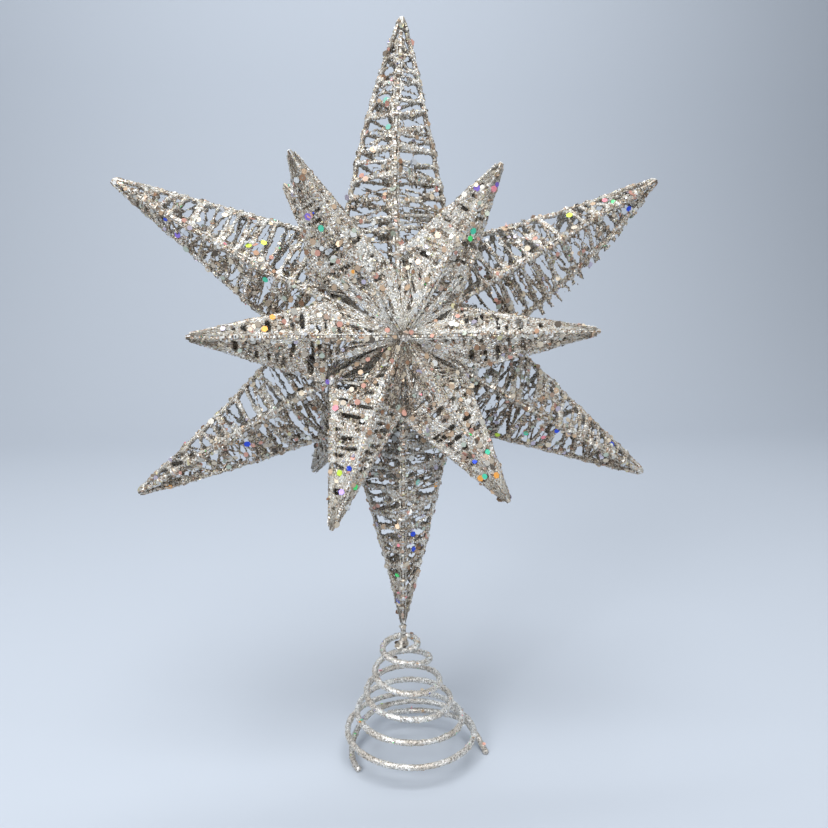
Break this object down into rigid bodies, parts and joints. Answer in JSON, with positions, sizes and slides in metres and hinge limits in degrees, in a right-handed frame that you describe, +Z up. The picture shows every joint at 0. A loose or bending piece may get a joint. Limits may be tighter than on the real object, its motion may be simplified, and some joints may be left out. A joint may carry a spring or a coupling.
{
  "type": "wire star tree topper",
  "caption": "Glittered wire star with long flat spikes and smaller forward and backward spikes, wound with thread, on a conical wire coil that fits over a tree's top shoot.",
  "frame": {"origin": "on the coil's axis, level with the ends of the coil's two wires", "axes": "+Z up from the coil to the star's top spike; -Y is the star's front; +X is to the right seen from the front"},
  "size_m": [0.2254, 0.0669, 0.3144],
  "materials": {
    "glitter_wire": "silver glitter coat on steel wire",
    "glitter_thread": "thread coated with silver glitter",
    "glue": "clear glue full of silver glitter",
    "sequin": "holographic hexagonal foil",
    "coil_wire": "silver glitter coat on steel wire"
  },
  "bodies": {
    "coil": {"coil_wire": "coil_wire", "coil_second_wire": "coil_wire"},
    "neck": {"neck_glue": "glue"},
    "stem": {"stem_wire": "glitter_wire"},
    "star": {"long_spike_1_side_wire": "glitter_wire", "long_spike_1_ridge_wires": "glitter_wire", "long_spike_1_winding": "glitter_thread", "long_spike_2_side_wire": "glitter_wire", "long_spike_2_ridge_wires": "glitter_wire", "long_spike_2_winding": "glitter_thread", "long_spike_3_side_wire": "glitter_wire", "long_spike_3_ridge_wires": "glitter_wire", "long_spike_3_winding": "glitter_thread", "long_spike_4_side_wire": "glitter_wire", "long_spike_4_ridge_wires": "glitter_wire", "long_spike_4_winding": "glitter_thread", "long_spike_5_side_wire": "glitter_wire", "long_spike_5_ridge_wires": "glitter_wire", "long_spike_5_winding": "glitter_thread", "long_spike_6_side_wire": "glitter_wire", "long_spike_6_ridge_wires": "glitter_wire", "long_spike_6_winding": "glitter_thread", "front_spike_1_frame": "glitter_wire", "front_spike_1_winding": "glitter_thread", "front_spike_2_frame": "glitter_wire", "front_spike_2_winding": "glitter_thread", "front_spike_3_frame": "glitter_wire", "front_spike_3_winding": "glitter_thread", "front_spike_4_frame": "glitter_wire", "front_spike_4_winding": "glitter_thread", "front_spike_5_frame": "glitter_wire", "front_spike_5_winding": "glitter_thread", "front_spike_6_frame": "glitter_wire", "front_spike_6_winding": "glitter_thread", "back_spike_1_frame": "glitter_wire", "back_spike_1_winding": "glitter_thread", "back_spike_2_frame": "glitter_wire", "back_spike_2_winding": "glitter_thread", "back_spike_3_frame": "glitter_wire", "back_spike_3_winding": "glitter_thread", "back_spike_4_frame": "glitter_wire", "back_spike_4_winding": "glitter_thread", "back_spike_5_frame": "glitter_wire", "back_spike_5_winding": "glitter_thread", "back_spike_6_frame": "glitter_wire", "back_spike_6_winding": "glitter_thread", "hub_front_glue": "glue", "hub_front_threads": "glitter_thread", "sequins_front": "sequin", "ridge_glue_front": "glue", "hub_back_glue": "glue", "hub_back_threads": "glitter_thread", "sequins_back": "sequin", "ridge_glue_back": "glue", "valley_glue": "glue"}
  },
  "joints": [
    {"name": "coil_press", "type": "slide", "parent": "coil", "child": "neck", "axis": [0, 0, -1], "range_m": [0, 0.015], "stiffness_N_per_m": 300, "springref_m": -0.00366, "deforming": ["coil_wire"]},
    {"name": "star_lean", "type": "hinge", "parent": "neck", "child": "stem", "pos_m": [0, 0, 0.051], "axis": [1, 0, 0], "range_deg": [-12, 12], "stiffness_Nm_per_rad": 0.6},
    {"name": "star_sway", "type": "hinge", "parent": "stem", "child": "star", "pos_m": [0, 0, 0.051], "axis": [0, 1, 0], "range_deg": [-12, 12], "stiffness_Nm_per_rad": 0.6}
  ]
}
